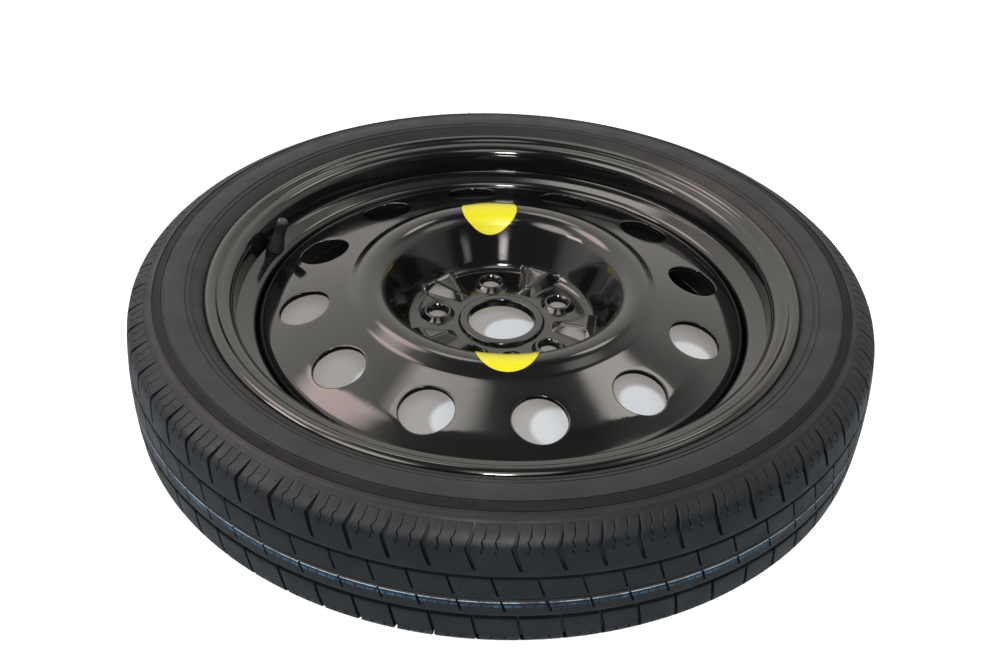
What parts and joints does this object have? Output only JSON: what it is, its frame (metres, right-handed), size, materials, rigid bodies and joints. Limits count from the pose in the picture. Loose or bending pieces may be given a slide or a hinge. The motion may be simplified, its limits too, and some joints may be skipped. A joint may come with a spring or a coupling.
{
  "type": "space saver spare wheel",
  "caption": "Temporary spare wheel: narrow tyre on a black steel rim with a pressed disc, raised bolt seats, round vent holes, round yellow labels and a snap-in valve with a cap",
  "frame": {"origin": "centre of the hub bore on the disc's rear mounting face", "axes": "+Z along the wheel axis towards the outer side, which faces up; +X to the right and +Y away from the viewer"},
  "size_m": [0.627, 0.627, 0.125],
  "materials": {
    "tyre": "satin moulded rubber",
    "black_paint": "gloss black dip paint on steel",
    "valve_rubber": "matt rubber",
    "brass": "dull brass",
    "seal": "plain sealing ring",
    "spring_steel": "drawn wire",
    "black_plastic": "moulded plastic",
    "yellow_vinyl": "plain yellow vinyl"
  },
  "bodies": {
    "wheel": {"tyre": "tyre", "rim": "black_paint", "disc": "black_paint", "weld_1": "black_paint", "weld_2": "black_paint", "weld_3": "black_paint", "weld_4": "black_paint", "valve_rubber": "valve_rubber", "valve_stem": "brass", "core_body": "brass", "core_seal": "seal", "core_spring": "spring_steel", "label_far": "yellow_vinyl", "label_near": "yellow_vinyl"},
    "cap": {"valve_cap": "black_plastic", "cap_seal": "valve_rubber"},
    "pin": {"core_pin": "brass", "core_pin_seal": "valve_rubber"}
  },
  "joints": [
    {"name": "cap_off", "type": "slide", "parent": "wheel", "child": "cap", "axis": [0.2827, -0.0974, 0.9543], "range_m": [0, 0.02]},
    {"name": "pin_press", "type": "slide", "parent": "wheel", "child": "pin", "axis": [-0.2827, 0.0974, -0.9543], "range_m": [0, 0.0014], "stiffness_N_per_m": 900, "deforming": ["core_spring"]}
  ]
}
